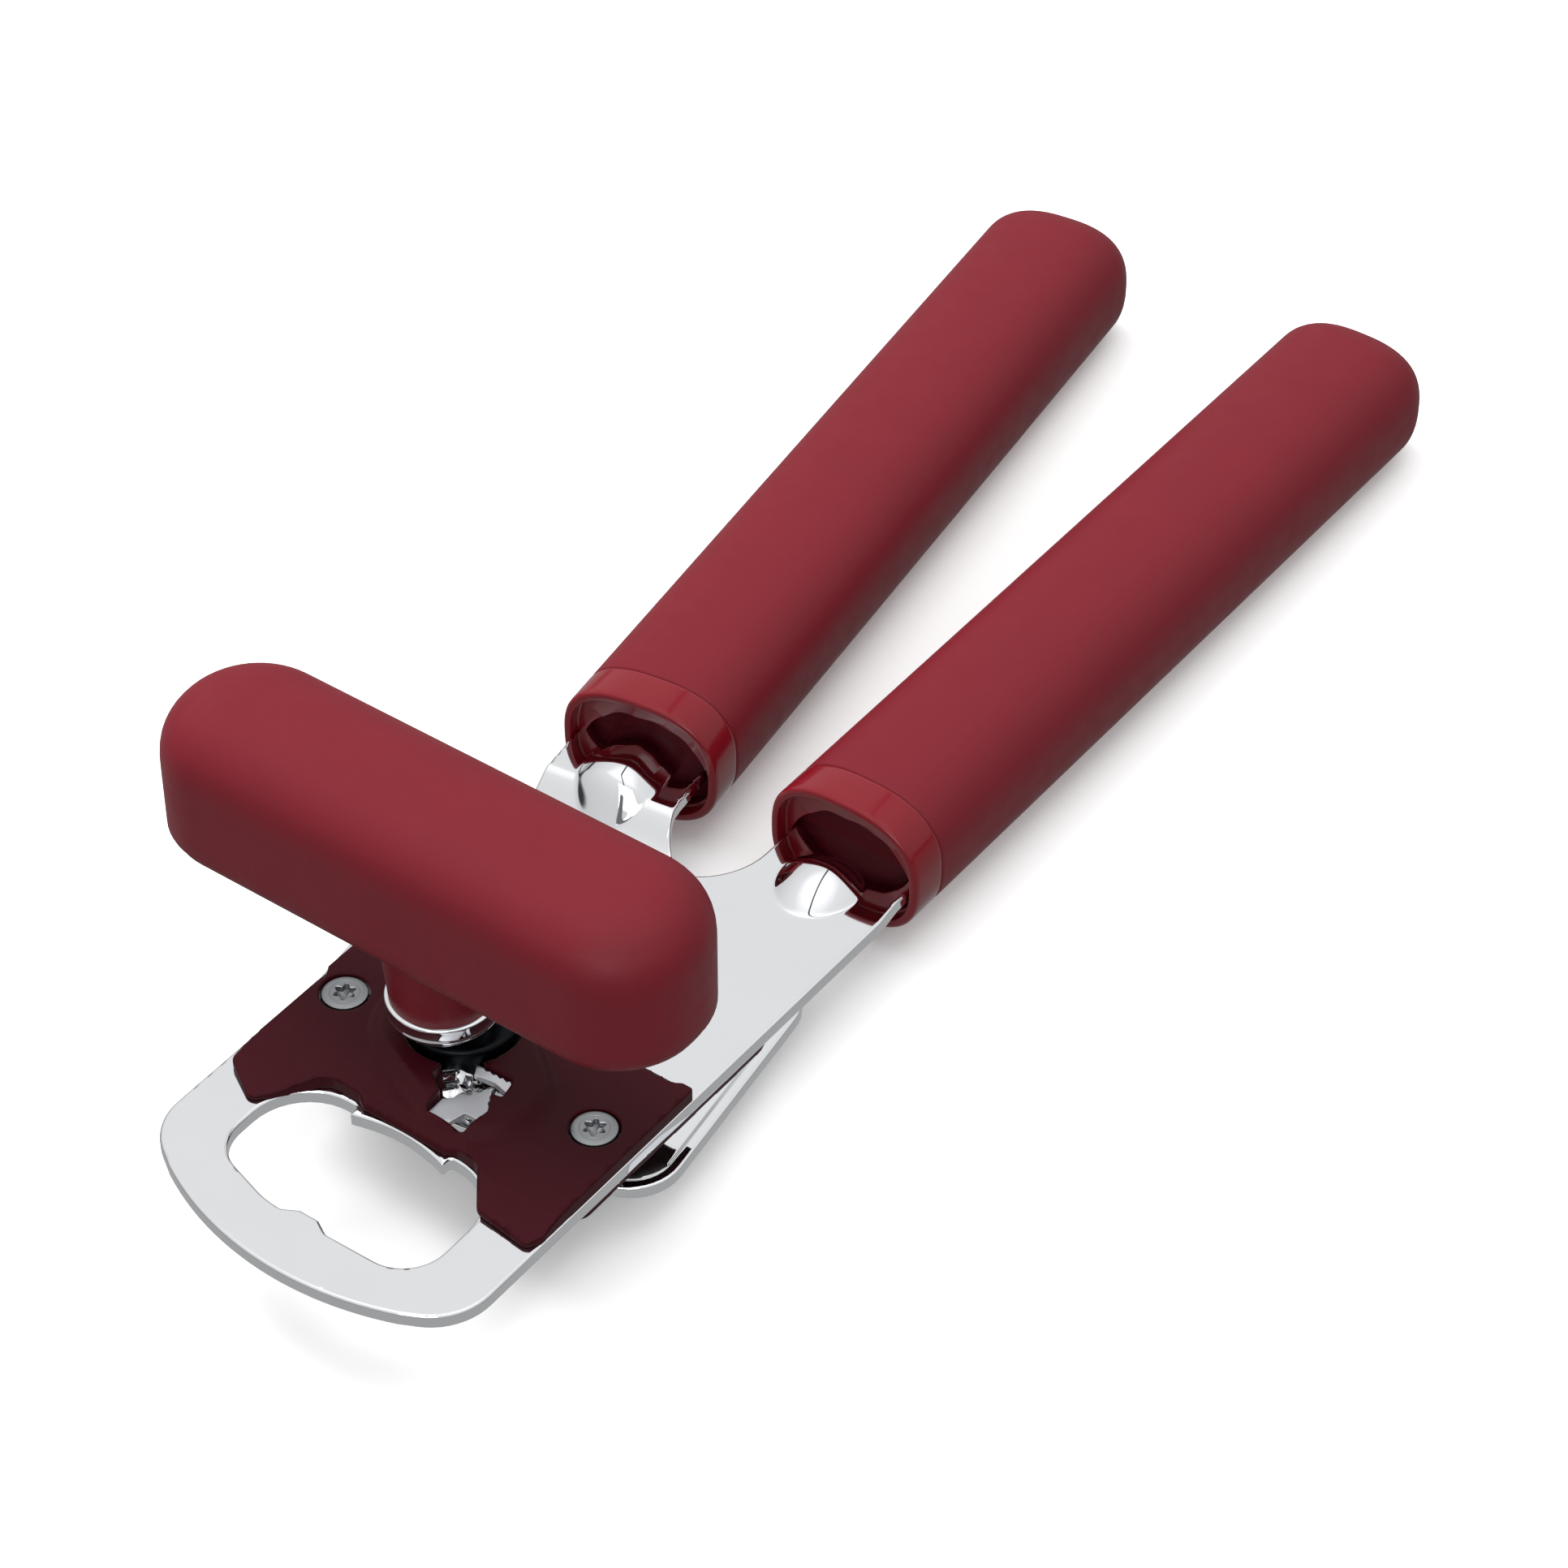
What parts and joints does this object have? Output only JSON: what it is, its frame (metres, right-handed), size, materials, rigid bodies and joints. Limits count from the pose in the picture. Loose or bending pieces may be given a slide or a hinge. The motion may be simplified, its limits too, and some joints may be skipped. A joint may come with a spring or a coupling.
{
  "type": "manual can opener",
  "caption": "Hand-held can opener: two levers with soft oval grips, a bar knob that turns the feed wheel, and a head plate with a bottle opener mouth.",
  "frame": {"origin": "on the crank axis, at the lowest face of the crank shaft, which is the face that the head rests on", "axes": "+Y runs from the head along the right handle to its tip, +X to the right handle's side, +Z along the crank axis from the wheels up to the knob"},
  "size_m": [0.075, 0.212, 0.0525],
  "materials": {
    "chrome_steel": "mirror polished",
    "cover_plastic": "moulded, fine matte texture",
    "zinc_steel": "satin zinc plate",
    "blade_steel": "ground",
    "black_steel": "black oxide, oiled",
    "gloss_core": "glossy moulded",
    "soft_grip": "soft-touch matte"
  },
  "bodies": {
    "frame": {"upper_plate": "chrome_steel", "head_cover": "cover_plastic", "cover_screws": "zinc_steel", "glide_pad": "cover_plastic", "pivot_bush": "black_steel", "bush_keeper": "zinc_steel", "right_core": "gloss_core", "right_grip": "soft_grip"},
    "lever": {"lower_plate": "chrome_steel", "left_core": "gloss_core", "left_grip": "soft_grip", "cutter_stud": "zinc_steel", "cutter_spacer": "zinc_steel"},
    "cutter": {"cutting_wheel": "blade_steel"},
    "crank": {"knob_cap": "soft_grip", "knob_base": "cover_plastic", "ferrule": "chrome_steel", "spring_washer": "zinc_steel", "crank_shaft": "zinc_steel", "feed_wheel": "blade_steel", "thrust_washer": "zinc_steel", "shaft_nut": "zinc_steel"}
  },
  "joints": [
    {"name": "lever_pivot", "type": "hinge", "parent": "frame", "child": "lever", "pos_m": [0.0012, 0.002, 0.009], "axis": [0, 0, 1], "range_deg": [-7.8, 40]},
    {"name": "cutter_spin", "type": "hinge", "parent": "lever", "child": "cutter", "pos_m": [0.0153, 0.0015, 0.0023], "axis": [0, 0, 1], "continuous": true},
    {"name": "crank_turn", "type": "hinge", "parent": "frame", "child": "crank", "pos_m": [0, 0, 0.012], "axis": [0, 0, 1], "continuous": true}
  ]
}
